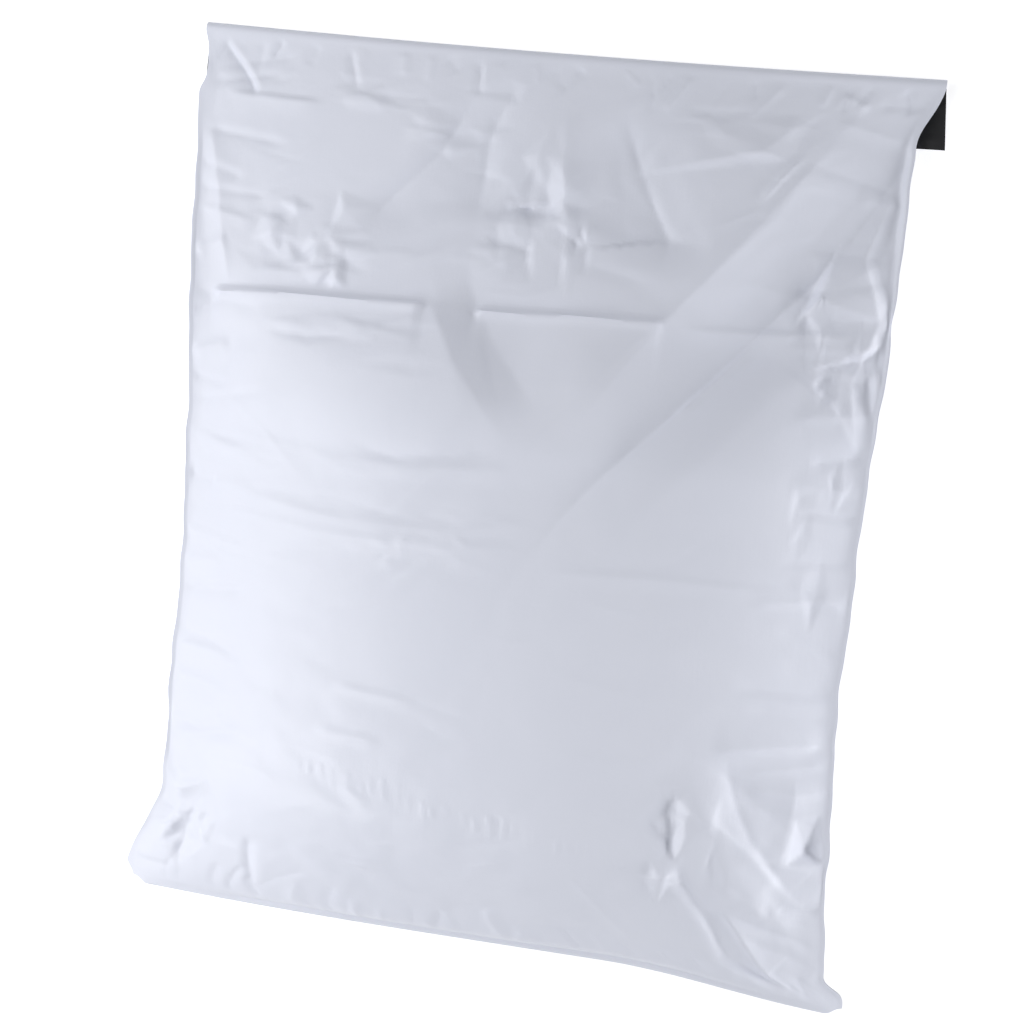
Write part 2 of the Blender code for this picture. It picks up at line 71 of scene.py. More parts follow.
def add_camera():
    """Camera turned about the target by its yaw, its pitch and its roll."""
    turn_y = Matrix.Rotation(math.radians(CAMERA_YAW), 3, "Y")
    turn_x = Matrix.Rotation(math.radians(CAMERA_PITCH), 3, "X")
    turn_z = Matrix.Rotation(math.radians(CAMERA_ROLL), 3, "Z")
    turned = turn_y @ turn_x @ turn_z
    bpy.ops.object.camera_add()
    camera = bpy.context.object
    camera.data.lens = CAMERA_LENS
    place = CAMERA_TARGET + turned @ Vector((0, 0, CAMERA_DISTANCE))
    camera.matrix_world = Matrix.Translation(place) @ turned.to_4x4()
    bpy.context.scene.camera = camera
    return camera


camera = add_camera()
print("camera at", [round(value, 3) for value in camera.location])

# %% [markdown]
# ## The sizes of the bag
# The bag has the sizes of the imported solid, only its film is thinner. A place on a panel is a
# pair of shares: s runs across from -1 to 1, and t runs up from the bottom fold (0) to the
# top fold (1).

# %% Sizes
FILM_WIDTH = 400 * MM
BAG_LENGTH = 500 * MM
LENGTH_TAKE_UP = 0.3
FLAP_LENGTH = 36 * MM
WELD_WIDTH = 1.5 * MM
FILM = 0.4 * MM
FILL_HEIGHT = 54 * MM
FILL_LENGTH = 308 * MM
FILL_FADE = 80 * MM
SLACK_HEIGHT = 31 * MM
SIDE_SEAM_HEIGHT = 19 * MM
END_SEAM_HEIGHT = 7 * MM
BOTTOM_ROLL = 10 * MM
TOP_ROLL = 8 * MM
MOUTH_HEIGHT = 4.4 * MM
END_RISE = 80 * MM
HALF_WIDTH = FILM_WIDTH / 2
FILLED_LENGTH = BAG_LENGTH - LENGTH_TAKE_UP * FILL_HEIGHT
TOP_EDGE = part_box("envelope")[1][1]
BOTTOM_EDGE = TOP_EDGE - FILLED_LENGTH
FIN = 2 * FILM
print("filled length", round(FILLED_LENGTH, 4))

# %% [markdown]
# ## Small helpers
# A smooth step and a blend of two values serve all the shapes below.

# %% Helpers


def ease(value):
    """Smooth step from 0 to 1."""
    value = np.clip(value, 0, 1)
    return value * value * (3 - 2 * value)


def blend(start, end, share):
    """Value between start and end."""
    return start + (end - start) * share


# %% [markdown]
# ## The bulge
# Soft goods fill the lower two thirds. The film rises steeply beside the welds, lies level
# over the goods and slopes down to the top fold, where the bag is almost empty. Its back is
# pressed flat on the floor.

# %% Shape of the filled bag
SHOULDER_POWER = 2.9
CROWN_POWER = 1.15
END_POWER = 1.6
UNDERSIDE_FLANK = 24 * MM
FLAP_GAP = 1.2 * MM
FLAP_LIFT_RUN = 60 * MM
BOTTOM_LIFT = 2 * MM
BOTTOM_LIFT_RUN = 20 * MM


def shoulder(s):
    """Cross-section of the front: 1 in the middle, 0 from the weld outwards."""
    inner = np.clip(np.abs(s) / (1 - WELD_WIDTH / HALF_WIDTH), 0, 1)
    return (1 - inner ** SHOULDER_POWER) ** CROWN_POWER


def underside(s):
    """Cross-section of the back: 1 where it lies flat, 0 from the weld outwards."""
    inner = np.clip(np.abs(s) / (1 - WELD_WIDTH / HALF_WIDTH), 0, 1)
    start = 1 - UNDERSIDE_FLANK / HALF_WIDTH
    return np.sqrt(1 - np.clip((inner - start) / (1 - start), 0, 1) ** 2)


def crown(y):
    """Height of the front along the middle, y being measured from the bottom fold."""
    bottom = END_SEAM_HEIGHT + BOTTOM_ROLL / 2
    rise = (1 - (1 - np.clip(y / END_RISE, 0, 1)) ** END_POWER) ** (1 / END_POWER)
    goods = blend(bottom, FILL_HEIGHT, rise)
    beyond = np.clip((y - FILL_LENGTH) / (FILLED_LENGTH - FILL_LENGTH), 0, 1)
    slack = blend(SLACK_HEIGHT, TOP_ROLL, beyond)
    return blend(goods, slack, ease((y - FILL_LENGTH) / FILL_FADE + 0.5))


def seam(y):
    """Height of the side welds."""
    rise = ease(y / END_RISE)
    fall = ease((y - FILL_LENGTH) / (FILLED_LENGTH - FILL_LENGTH))
    return blend(END_SEAM_HEIGHT, SIDE_SEAM_HEIGHT, rise * (1 - fall))


def belly(y):
    """Height of the back along the middle: 0 where it lies, and clear of the flap."""
    flap_edge = FILLED_LENGTH - FLAP_LENGTH
    over_edge = (2 * FILM + FLAP_GAP) * ease((y - flap_edge) / FLAP_LIFT_RUN + 1)
    over_flap = np.clip((y - flap_edge) / FLAP_LENGTH, 0, 1)
    bottom = BOTTOM_LIFT * (1 - ease(y / BOTTOM_LIFT_RUN))
    return bottom + blend(over_edge, MOUTH_HEIGHT, over_flap)


# %% [markdown]
# ## The outline
# Film that goes up over the goods is missing from the width, so the sides draw in at mid
# height and swell out again to an ear at each end of the bottom fold.

# %% Outline
LEFT_TAKE_UP = 0.34
RIGHT_TAKE_UP = 0.3
LEFT_EAR = 64 * MM
LEFT_EAR_REACH = 2 * MM
LEFT_TAPER_START = 170 * MM
LEFT_TUCK = 2.5 * MM
LEFT_TUCK_RUN = 10 * MM
RIGHT_EAR = 16 * MM
RIGHT_EAR_REACH = 9 * MM
RIGHT_SWELL = 160 * MM
RIGHT_EAR_PART = 0.45
RIGHT_TAPER_START = 230 * MM
TOP_BOW = 2 * MM
RIGHT_DRAW = 15 * MM
RIGHT_DRAW_START = 265 * MM
RIGHT_DRAW_RUN = 270 * MM
RIGHT_TUCK_RUN = 34 * MM
CORNER_DROOP = 10.5 * MM
DROOP_START = 0.35
BOTTOM_BOW = 3 * MM
EAR_ROUND = 9 * MM
EDGE_SWAY = 0.9 * MM
SWAY_WAVES = (110 * MM, 63 * MM, 37 * MM, 24 * MM)
SWAY_PEAK = 0.8


def sway(y, seed):
    """Small irregular waves along an edge, between about -1 and 1."""
    dice = random.Random(seed)
    waves = np.zeros_like(y)
    for length in SWAY_WAVES:
        phase = dice.uniform(0, 2 * math.pi)
        waves = waves + np.sin(y * 2 * math.pi / length + phase) * length ** 0.5
    return waves / SWAY_PEAK * ease(y / EAR_ROUND) * ease((FILLED_LENGTH - y) / EAR_ROUND)


def left_x(y):
    """Place of the left weld, tucked in beside the flap so that a sliver of it shows."""
    fade = ease((y - LEFT_TAPER_START) / (FILLED_LENGTH - LEFT_TAPER_START))
    ear = ease(y / LEFT_EAR)
    round_in = EAR_ROUND / 2 * (1 - ease(y / EAR_ROUND))
    from_top = FILLED_LENGTH - y
    tuck = ease((FLAP_LENGTH - from_top) / LEFT_TUCK_RUN) * ease(from_top / LEFT_TUCK_RUN)
    taken = LEFT_TAKE_UP * FILL_HEIGHT * ear * (1 - fade) + LEFT_TUCK * tuck
    return taken + round_in - HALF_WIDTH - LEFT_EAR_REACH * (1 - ear) + EDGE_SWAY * sway(y, 5)


def right_x(y):
    """Place of the right weld, which is also pulled in beside the flap."""
    fade = ease((y - RIGHT_TAPER_START) / (FILLED_LENGTH - RIGHT_TAPER_START))
    ear = ease(y / RIGHT_EAR)
    rise = blend(ease(y / RIGHT_SWELL), ear, RIGHT_EAR_PART)
    tuck = 1 - ease((y - FILLED_LENGTH) / RIGHT_TUCK_RUN + 1)
    pull = RIGHT_DRAW * ease((y - RIGHT_DRAW_START) / RIGHT_DRAW_RUN) * tuck
    taken = RIGHT_TAKE_UP * FILL_HEIGHT * rise * (1 - fade) + pull
    round_in = EAR_ROUND / 2 * (1 - ease(y / EAR_ROUND))
    return HALF_WIDTH + RIGHT_EAR_REACH * (1 - ear) - taken - round_in + EDGE_SWAY * sway(y, 8)


def droop(s):
    """How far the bottom fold hangs down: bowed, lower at its right end, round at the ears."""
    hang = CORNER_DROOP * ease((s - DROOP_START) / (1 - DROOP_START))
    bow = BOTTOM_BOW * (1 - s * s) * (1 - s) / 2
    corner = ease((np.abs(s) - 1) * HALF_WIDTH / EAR_ROUND + 1)
    return hang + bow - EAR_ROUND / 2 * corner


# %% [markdown]
# ## Folds in film
# Film doesn't wrinkle like cloth. It stays smooth and straight between sharp lines. Each
# fold is therefore a ridge with a sharp top, whose two flanks have widths of their own and
# are plane or hollow, and a buckle is a low pyramid of flat facets. The sum of them all is
# the relief of a panel.

# %% Relief


class Relief:
    """Height of the folds over a panel, added up one by one."""

    def __init__(self, s, t):
        self.x = s * HALF_WIDTH
        self.y = t * FILLED_LENGTH
        self.height = np.zeros_like(self.x)

    def place(self, point):
        """A pair of shares in metres."""
        return point[0] * HALF_WIDTH, point[1] * FILLED_LENGTH

    def fold(self, points, height, left, right, fade=0.25, sharp=(1.8, 1.8)):
        """Ridge along the points, or a valley if height is below 0.

        left and right are the widths of its flanks, seen along the line. A flank whose
        sharpness is 1 is a plane; the higher it is, the more softly the flank runs out.
        """
        places = [self.place(point) for point in points]
        total = sum(math.dist(a, b) for a, b in zip(places, places[1:]))
        nearest = np.full_like(self.x, math.inf)
        rise = np.zeros_like(self.x)
        run = 0
        for (ax, ay), (bx, by) in zip(places, places[1:]):
            length = math.dist((ax, ay), (bx, by))
            ux = (bx - ax) / length
            uy = (by - ay) / length
            along = np.clip((self.x - ax) * ux + (self.y - ay) * uy, 0, length)
            off_x = self.x - ax - along * ux
            off_y = self.y - ay - along * uy
            away = np.hypot(off_x, off_y)
            on_left = ux * off_y - uy * off_x > 0
            flank = np.where(on_left, left, right)
            power = np.where(on_left, sharp[0], sharp[1])
            share = (run + along) / total
            ends = ease(np.minimum(share, 1 - share) / fade)
            tent = np.clip(1 - away / flank, 0, 1) ** power * ends
            rise = np.where(away < nearest, tent, rise)
            nearest = np.minimum(nearest, away)
            run += length
        self.height += height * rise

    def facet(self, corners, peak, height):
        """Pyramid over a convex outline given anticlockwise, sunk if height is below 0."""
        places = [self.place(corner) for corner in corners]
        top = self.place(peak)
        rise = np.full_like(self.x, math.inf)
        for (ax, ay), (bx, by) in zip(places, places[1:] + places[:1]):
            to_peak = (bx - ax) * (top[1] - ay) - (by - ay) * (top[0] - ax)
            to_here = (bx - ax) * (self.y - ay) - (by - ay) * (self.x - ax)
            rise = np.minimum(rise, to_here / to_peak)
        self.height += height * np.clip(rise, 0, 1)

    def crumple(self, centre, reach, count, height, seed):
        """Cluster of overlapping low pyramids, which leaves flat facets and sharp lines."""
        dice = random.Random(seed)
        for _ in range(count):
            middle = [at + far * dice.uniform(-0.8, 0.8) for at, far in zip(centre, reach)]
            size = [far * dice.uniform(0.25, 0.6) for far in reach]
            start = dice.uniform(0, 2 * math.pi)
            corners = []
            for number in range(4):
                angle = start + (number + dice.uniform(-0.35, 0.35)) * math.pi / 2
                x = middle[0] + size[0] * math.cos(angle)
                y = middle[1] + size[1] * math.sin(angle)
                corners.append((x, y))
            shares = [dice.uniform(0.05, 1) for _ in corners]
            peak_x = sum(share * x for share, (x, _) in zip(shares, corners)) / sum(shares)
            peak_y = sum(share * y for share, (_, y) in zip(shares, corners)) / sum(shares)
            sign = dice.choice((-1, 1))
            self.facet(corners, (peak_x, peak_y), sign * height * dice.uniform(0.5, 1))


# %% [markdown]
# ## The folds of the front, one by one
# Each group below is something that happened to the bag: it lay folded in its pack, it was
# pulled up by one corner, its goods slid down into the lower right corner. A flank that
# faces the light is bright and one that faces away is dark, so the widths and the slopes of
# the flanks were chosen from the bright and dark planes that the photograph shows.

# %% Crease, dent and tension band
STORAGE_CREASE = 3.2 * MM
TENT = 5 * MM
TENSION_FOLD = 9 * MM
DENT = 8 * MM
WRINKLE = 1.6 * MM
CRUMPLE = 2.2 * MM


def storage_crease(relief):
    """Crease from lying folded in its pack: the film hangs from it like a tent.

    It is broken where the film dents.
    """
    relief.fold(((-1.0, 0.700), (0.45, 0.712)), TENT, 60 * MM, 90 * MM, 0.2, (1.0, 1.0))
    above, below = 4 * MM, 34 * MM
    for line in (((-0.93, 0.703), (-0.274, 0.709)), ((-0.147, 0.709), (0.39, 0.716))):
        relief.fold(line, STORAGE_CREASE * 0.7, above, below, 0.06, (1.5, 1.3))
        relief.fold(line, STORAGE_CREASE * 0.4, 3 * MM, 6 * MM, 0.04, (1.2, 1.1))
    relief.fold(((0.40, 0.713), (0.98, 0.732)), STORAGE_CREASE * 0.6, 4 * MM, 14 * MM)
    foot = ((-0.95, 0.540), (-0.55, 0.535), (-0.20, 0.545), (0.00, 0.565))
    relief.fold(foot, -WRINKLE, 30 * MM, 8 * MM, 0.1)
    relief.crumple((-0.45, 0.655), (0.28, 0.030), 8, CRUMPLE * 0.6, 21)


def dent(relief):
    """Dark dent below the crease: a plate ends in a sharp edge, and the film dips beyond."""
    plate_edge = ((-0.29, 0.730), (-0.175, 0.647), (-0.046, 0.591), (0.01, 0.568))
    relief.fold(plate_edge, DENT * 0.9, 24 * MM, 100 * MM, 0.3, (1.1, 1.1))
    bottom = ((-0.193, 0.800), (-0.138, 0.706), (-0.075, 0.650), (0.00, 0.580))
    relief.fold(bottom, -DENT * 0.3, 50 * MM, 20 * MM, 0.3, (1.3, 1.3))


def tension_band(relief):
    """Broad plane drawn from the top right corner down to the middle of the goods."""
    channel = ((1.10, 1.000), (0.81, 0.796), (0.59, 0.696), (0.22, 0.520), (0.00, 0.400))
    relief.fold(channel, -TENSION_FOLD, 34 * MM, 38 * MM, 0.35, (1.7, 1.0))
    crest = ((0.83, 0.950), (0.56, 0.806), (0.39, 0.716), (0.156, 0.572))
    relief.fold(crest, TENSION_FOLD * 0.6, 26 * MM, 60 * MM, 0.2, (1.2, 1.2))
    relief.fold(((0.70, 0.742), (0.38, 0.585)), TENSION_FOLD * 0.2, 5 * MM, 8 * MM, 0.4)
    relief.fold(((0.72, 0.917), (0.60, 0.855)), WRINKLE, 4 * MM, 6 * MM)


# %% [markdown]
# ## The upper right side and the top
# The pull on the upper right corner buckles the film along the right side. Above the storage
# crease there are no goods behind the film, so it lies in broad planes with small crumples.

# %% Facets and folds at the right side and at the top
CORNER_FOLD = 6 * MM
BROAD_FOLD = 5 * MM


def right_facets(relief):
    """Sharp facets where the film buckles along the upper right side."""
    upper = ((0.74, 0.735), (0.97, 0.748), (0.98, 0.822), (0.84, 0.835))
    relief.facet(upper, (0.80, 0.765), CORNER_FOLD)
    lower = ((0.77, 0.685), (0.88, 0.630), (0.98, 0.640), (0.97, 0.722))
    relief.facet(lower, (0.93, 0.705), -CORNER_FOLD * 0.8)
    relief.fold(((0.70, 0.690), (0.86, 0.655), (0.96, 0.600)), WRINKLE, 6 * MM, 16 * MM)
    edge = ((0.97, 0.900), (0.90, 0.810), (0.96, 0.745), (0.90, 0.680), (0.95, 0.600))
    relief.fold(edge, CORNER_FOLD * 0.5, 8 * MM, 26 * MM, 0.2, (1.5, 1.1))
    relief.crumple((0.84, 0.700), (0.12, 0.085), 7, CRUMPLE, 14)
    relief.crumple((0.88, 0.520), (0.09, 0.100), 5, CRUMPLE * 0.6, 6)


def top_folds(relief):
    """Planes and crumples in the slack film above the storage crease."""
    relief.fold(((-0.965, 0.905), (-0.87, 0.700)), CORNER_FOLD * 0.4, 26 * MM, 12 * MM)
    relief.fold(((-0.96, 0.990), (-0.82, 0.925)), -WRINKLE * 1.6, 4 * MM, 12 * MM)
    relief.fold(((-0.92, 0.930), (-0.62, 0.928)), WRINKLE, 3 * MM, 12 * MM)
    stroke = ((-0.19, 0.960), (-0.283, 0.886), (-0.407, 0.833), (-0.50, 0.790))
    relief.fold(stroke, -BROAD_FOLD * 0.8, 34 * MM, 16 * MM)
    first_valley = ((-0.10, 0.985), (-0.15, 0.900), (-0.17, 0.800))
    relief.fold(first_valley, -BROAD_FOLD, 28 * MM, 38 * MM, 0.35, (1.8, 1.3))
    crest = ((0.06, 0.960), (0.08, 0.860), (0.12, 0.760))
    relief.fold(crest, BROAD_FOLD * 0.8, 30 * MM, 26 * MM, 0.35, (1.3, 1.8))
    second_valley = ((0.20, 0.960), (0.31, 0.855), (0.372, 0.810), (0.36, 0.765))
    relief.fold(second_valley, -BROAD_FOLD * 1.5, 36 * MM, 40 * MM, 0.3, (1.7, 1.0))
    ledge = ((0.26, 0.880), (0.68, 0.905), (0.72, 0.960), (0.36, 0.955))
    relief.facet(ledge, (0.60, 0.915), DENT * 0.5)
    relief.fold(((0.74, 0.985), (0.84, 0.970)), WRINKLE, 4 * MM, 8 * MM)
    relief.crumple((-0.66, 0.770), (0.20, 0.055), 16, CRUMPLE, 3)
    relief.crumple((0.02, 0.840), (0.16, 0.080), 18, CRUMPLE, 11)
    relief.crumple((-0.30, 0.930), (0.30, 0.045), 10, CRUMPLE * 0.5, 9)
    relief.crumple((0.62, 0.920), (0.22, 0.045), 8, CRUMPLE * 0.5, 17)


# %% [markdown]
# ## The bottom corners
# The goods have slid down, so the film gathers in the lower right corner. The lower left
# corner is nearly empty and stands out as an ear.

# %% Folds at the bottom corners


def bottom_right_folds(relief):
    """Deep folds that gather towards the lower right corner, with a ragged rim."""
    rim = ((0.468, 0.190), (0.552, 0.161), (0.600, 0.115), (0.673, 0.078), (0.734, 0.039),
           (0.864, 0.010))
    relief.fold(rim, -CORNER_FOLD * 0.5, 30 * MM, 9 * MM, 0.1, (1.0, 1.5))
    ridge = ((0.50, 0.222), (0.640, 0.198), (0.780, 0.162), (0.890, 0.122), (0.970, 0.100))
    relief.fold(ridge, CORNER_FOLD, 26 * MM, 40 * MM, 0.3, (1.1, 1.0))
    valley = ((0.70, 0.275), (0.734, 0.221), (0.779, 0.180), (0.857, 0.145), (0.931, 0.114))
    relief.fold(valley, -CORNER_FOLD * 0.65, 34 * MM, 22 * MM, 0.2, (1.3, 1.2))
    edge = ((0.657, 0.269), (0.829, 0.284), (0.975, 0.294))
    relief.fold(edge, CORNER_FOLD * 0.35, 22 * MM, 6 * MM, 0.2)
    crest = ((0.891, 0.259), (0.891, 0.217), (0.857, 0.145))
    relief.fold(crest, CORNER_FOLD * 0.3, 18 * MM, 12 * MM)
    diamond = ((0.88, 0.158), (0.985, 0.165), (0.969, 0.221), (0.90, 0.210))
    relief.facet(diamond, (0.94, 0.175), -CORNER_FOLD * 0.7)
    relief.fold(((0.70, 0.100), (0.87, 0.012)), CORNER_FOLD * 0.5, 14 * MM, 7 * MM)
    relief.fold(((0.55, 0.120), (0.68, 0.060), (0.74, 0.015)), WRINKLE, 8 * MM, 12 * MM)
    relief.crumple((0.62, 0.160), (0.12, 0.070), 12, CRUMPLE * 0.8, 31)
    relief.crumple((0.80, 0.070), (0.15, 0.050), 5, CRUMPLE * 0.6, 5)


def bottom_left_folds(relief):
    """Dent and short folds beside the lower left ear."""
    hollow = ((-0.93, 0.060), (-0.84, 0.020), (-0.79, 0.060), (-0.88, 0.110))
    relief.facet(hollow, (-0.87, 0.062), -CORNER_FOLD * 0.8)
    relief.fold(((-0.96, 0.120), (-0.84, 0.140)), CORNER_FOLD * 0.4, 7 * MM, 12 * MM)
    relief.fold(((-0.68, 0.085), (-0.60, 0.012)), -WRINKLE * 1.3, 8 * MM, 6 * MM)
    relief.crumple((-0.86, 0.085), (0.10, 0.060), 8, CRUMPLE * 0.7, 12)


# %% [markdown]
# ## Wrinkles, ruffles and puckers
# The calm parts of the film carry long shallow wrinkles, a row of short ruffles and faint
# marks of handling. Short puckers run in from the welds and cross the end folds, because flat
# film can't go round the goods without them. They are scattered by seeded random draws, so
# every run lays the same ones.

# %% Wrinkles, ruffles and puckers
RUFFLE = 0.9 * MM
RUFFLE_PITCH = 7.8 * MM
RUFFLE_SEED = 6
HANDLING = 0.5 * MM
PUCKER = 1.4 * MM
PUCKER_PITCH = 17 * MM
PUCKER_SEED = 4
END_PUCKER = 1.1 * MM
END_PUCKER_PITCH = 16 * MM


def wrinkles(relief):
    """Shallow wrinkles over the goods: long ones across, ripples and a row of ruffles."""
    for height, bow in ((0.548, 0.012), (0.490, 0.022), (0.462, 0.012)):
        line = ((-0.93, height), (-0.55, height - bow), (-0.15, height - bow), (0.12, height))
        relief.fold(line, WRINKLE * 0.8, 7 * MM, 12 * MM)
    relief.fold(((0.10, 0.436), (0.88, 0.452)), WRINKLE * 0.5, 5 * MM, 8 * MM)
    relief.fold(((-0.46, 0.282), (-0.18, 0.276)), WRINKLE * 0.7, 4 * MM, 8 * MM)
    relief.fold(((-0.50, 0.230), (-0.28, 0.226)), WRINKLE * 0.7, 4 * MM, 8 * MM)
    relief.fold(((0.27, 0.107), (0.50, 0.022)), WRINKLE * 0.5, 8 * MM, 8 * MM)
    dice = random.Random(RUFFLE_SEED)
    first, last = (-0.55, 0.183), (0.43, 0.128)
    count = round((last[0] - first[0]) * HALF_WIDTH / RUFFLE_PITCH)
    for number in range(count + 1):
        share = (number + dice.uniform(-0.25, 0.25)) / count
        s = blend(first[0], last[0], share) + dice.uniform(-0.01, 0.01)
        t = blend(first[1], last[1], share) + dice.uniform(-0.006, 0.006)
        half = dice.uniform(0.006, 0.016)
        height = RUFFLE * dice.uniform(0.2, 0.9)
        relief.fold(((s, t + half), (s + 0.01, t - half)), height, 2 * MM, 3 * MM)


def scattered(relief, seed, count, centre, reach, lengths, height):
    """Short shallow creases that run mostly across the bag, like a film's handling marks."""
    dice = random.Random(seed)
    for _ in range(count):
        s, t = [at + far * dice.uniform(-1, 1) for at, far in zip(centre, reach)]
        angle = dice.gauss(0, 0.25)
        half = dice.uniform(*lengths) / 2
        ds, dt = half * math.cos(angle) / HALF_WIDTH, half * math.sin(angle) / FILLED_LENGTH
        bow = dice.uniform(-0.1, 0.2) * half / FILLED_LENGTH
        line = ((s - ds, t - dt), (s, t - bow), (s + ds, t + dt))
        width = dice.uniform(2, 5) * MM
        rise = height * dice.uniform(0.3, 1) * dice.choice((-1, 1))
        relief.fold(line, rise, width, width * 2, 0.4)


def handling_marks(relief):
    """Faint creases that fill the calm parts of the front."""
    scattered(relief, 1, 26, (-0.45, 0.46), (0.45, 0.09), (30 * MM, 110 * MM), HANDLING)
    scattered(relief, 2, 34, (-0.10, 0.33), (0.80, 0.17), (20 * MM, 80 * MM), HANDLING * 0.7)
    scattered(relief, 3, 16, (-0.25, 0.445), (0.16, 0.020), (9 * MM, 20 * MM), HANDLING)
    scattered(relief, 4, 30, (0.00, 0.84), (0.90, 0.12), (15 * MM, 60 * MM), HANDLING)
    scattered(relief, 5, 18, (-0.10, 0.10), (0.60, 0.07), (15 * MM, 60 * MM), HANDLING)


def side_puckers(relief):
    """Short folds that run in from the welds, where the flat film goes round the goods."""
    dice = random.Random(PUCKER_SEED)
    for side in (-1, 1):
        count = round(FILLED_LENGTH / PUCKER_PITCH)
        for number in range(1, count):
            t = (number + dice.uniform(-0.4, 0.4)) / count
            reach = dice.uniform(0.10, 0.30)
            start = (side * 0.99, t)
            end = (side * (0.99 - reach), t + dice.uniform(-0.03, 0.03))
            sign = dice.choice((-1, 1))
            height = sign * PUCKER * dice.uniform(0.5, 1)
            width = dice.uniform(4, 9) * MM
            relief.fold((start, end), height, width, width * 1.6)


def end_puckers(relief):
    """Short folds that cross the top fold and the bottom fold."""
    dice = random.Random(PUCKER_SEED)
    for near, far in ((0.995, 0.95), (0.004, 0.04)):
        count = round(FILM_WIDTH / END_PUCKER_PITCH)
        for number in range(count):
            s = 1.9 * (number + dice.uniform(0.1, 0.9)) / count - 0.95
            tip = (s + dice.uniform(-0.06, 0.06), blend(near, far, dice.uniform(0.4, 1.2)))
            sign = dice.choice((-1, 1))
            height = sign * END_PUCKER * dice.uniform(0.3, 1)
            width = dice.uniform(3, 7) * MM
            relief.fold(((s, near), tip), height, width, width * 1.5)


# %% [markdown]
# ## Laying the panels
# A panel is a grid of points laid on the shape of the bag, with the folds raised from it.
# The same function lays a coarse grid for the simulation and a fine one for
# the finished film, so that every second line of the fine grid is a line of the coarse one.

# %% Panels
COLUMNS = 124
ROWS = 150
TURN_ROWS = 8
FLAP_ROWS = 16
EDGE_CROWDING = 0.25
START_AIR = 1.2
CALM_EDGE = 4 * MM
BACK_WRINKLE = 2.4 * MM
BACK_WRINKLE_PITCH = 34 * MM
BACK_WRINKLE_SEED = 7


def spread(share):
    """Grid lines drawn closer together towards both ends, where the film turns down."""
    return blend(share, np.sin(share * np.pi / 2), EDGE_CROWDING)


def panel_shares(columns, rows):
    """The s and t of every grid point of a panel."""
    across = spread(np.linspace(-1, 1, columns + 1))
    up = (spread(np.linspace(-1, 1, rows + 1)) + 1) / 2
    return np.meshgrid(across, up)


def normals(points):
    """Unit normals of a grid of points."""
    across = np.gradient(points, axis=1)
    up = np.gradient(points, axis=0)
    out = np.cross(across, up)
    return out / np.maximum(np.linalg.norm(out, axis=2, keepdims=True), 1e-12)


def front_relief(s, t):
    """Height of all the folds in the front panel, fading out at its edges."""
    relief = Relief(s, t)
    storage_crease(relief)
    dent(relief)
    tension_band(relief)
    right_facets(relief)
    top_folds(relief)
    bottom_right_folds(relief)
    bottom_left_folds(relief)
    wrinkles(relief)
    handling_marks(relief)
    side_puckers(relief)
    end_puckers(relief)
    from_side = HALF_WIDTH - WELD_WIDTH - np.abs(relief.x)
    from_end = np.minimum(relief.y, FILLED_LENGTH - relief.y)
    return relief.height * ease(from_side / CALM_EDGE) * ease(from_end / CALM_EDGE)


def back_relief(s, t):
    """Folds that rise from the floor under the bag."""
    relief = Relief(s, t)
    dice = random.Random(BACK_WRINKLE_SEED)
    length = FILLED_LENGTH - FLAP_LENGTH
    count = round(length / BACK_WRINKLE_PITCH)
    for number in range(count):
        place = (number + dice.uniform(0.2, 0.8)) / count * length / FILLED_LENGTH
        middle = dice.uniform(-0.5, 0.5)
        reach = dice.uniform(0.15, 0.5)
        slope = dice.uniform(-0.04, 0.04)
        line = ((middle - reach, place - slope), (middle, place), (middle + reach, place + slope))
        width = dice.uniform(6, 12) * MM
        relief.fold(line, BACK_WRINKLE * dice.uniform(0.4, 1), width, width * 1.5)
    return relief.height * underside(s) * ease(t * FILLED_LENGTH / BOTTOM_LIFT_RUN)


def lay_panels(columns, rows, air=1.0):
    """Grid points of the front and back panels, the front blown up by some air."""
    s, t = panel_shares(columns, rows)
    y = t * FILLED_LENGTH
    back_z = blend(seam(y) - FIN / 2, belly(y), underside(s)) + back_relief(s, t)
    below_flap = np.clip(y / (FILLED_LENGTH - FLAP_LENGTH), 0, 1)
    inflated = crown(y) + (air - 1) * FILL_HEIGHT * np.sin(np.pi * below_flap)
    front_z = blend(seam(y) + FIN / 2, inflated, shoulder(s))
    x = blend(left_x(y), right_x(y), (s + 1) / 2)
    start_roll = (front_z[0] - back_z[0]) / 2
    start = BOTTOM_EDGE + start_roll - droop(s[0])
    end = TOP_EDGE - front_z[-1] / 2 - TOP_BOW * (1 - s[0] ** 2)
    plan_y = blend(start[None, :], end[None, :], t)
    front = np.stack((x, plan_y, front_z), axis=2)
    back = np.stack((x, plan_y, back_z), axis=2)
    front = front + normals(front) * front_relief(s, t)[:, :, None]
    front[:, :, 2] = np.maximum(front[:, :, 2], back_z + FIN)
    return front, back


laid_front = lay_panels(COLUMNS, ROWS)[0]
print("laid", laid_front.shape, "highest", round(float(laid_front[:, :, 2].max()), 4))

# %% [markdown]
# ## Letting the film settle
# The film is stiff to stretching and limp to bending, and it was cut flat. Its simulation
# starts from the laid shape, a little too full of air, with the flat web as the shape at
# rest. Under a share of its weight the air goes out, the film finds itself too large for the
# bulge, and it buckles into the puckers and dents that a filled mailing bag has. The laid
# shape already has the right bulk, so only a share of those buckles is added to it, and the
# sinking of the whole bag is left out.

# %% Simulation
SETTLE_FRAMES = 15
FLAT_LENGTH = 514 * MM
FLAT_WIDTH = 404 * MM
VERTEX_MASS = 0.3
AIR_PRESSURE = 4.0
AIR_SHARE = 1.03
WEIGHT_SHARE = 0.1
FLOOR_CLEARANCE = 2 * MM
FINEST_PASSES = 1
BROADEST_PASSES = 250
BUCKLE_SHARE = 0.4


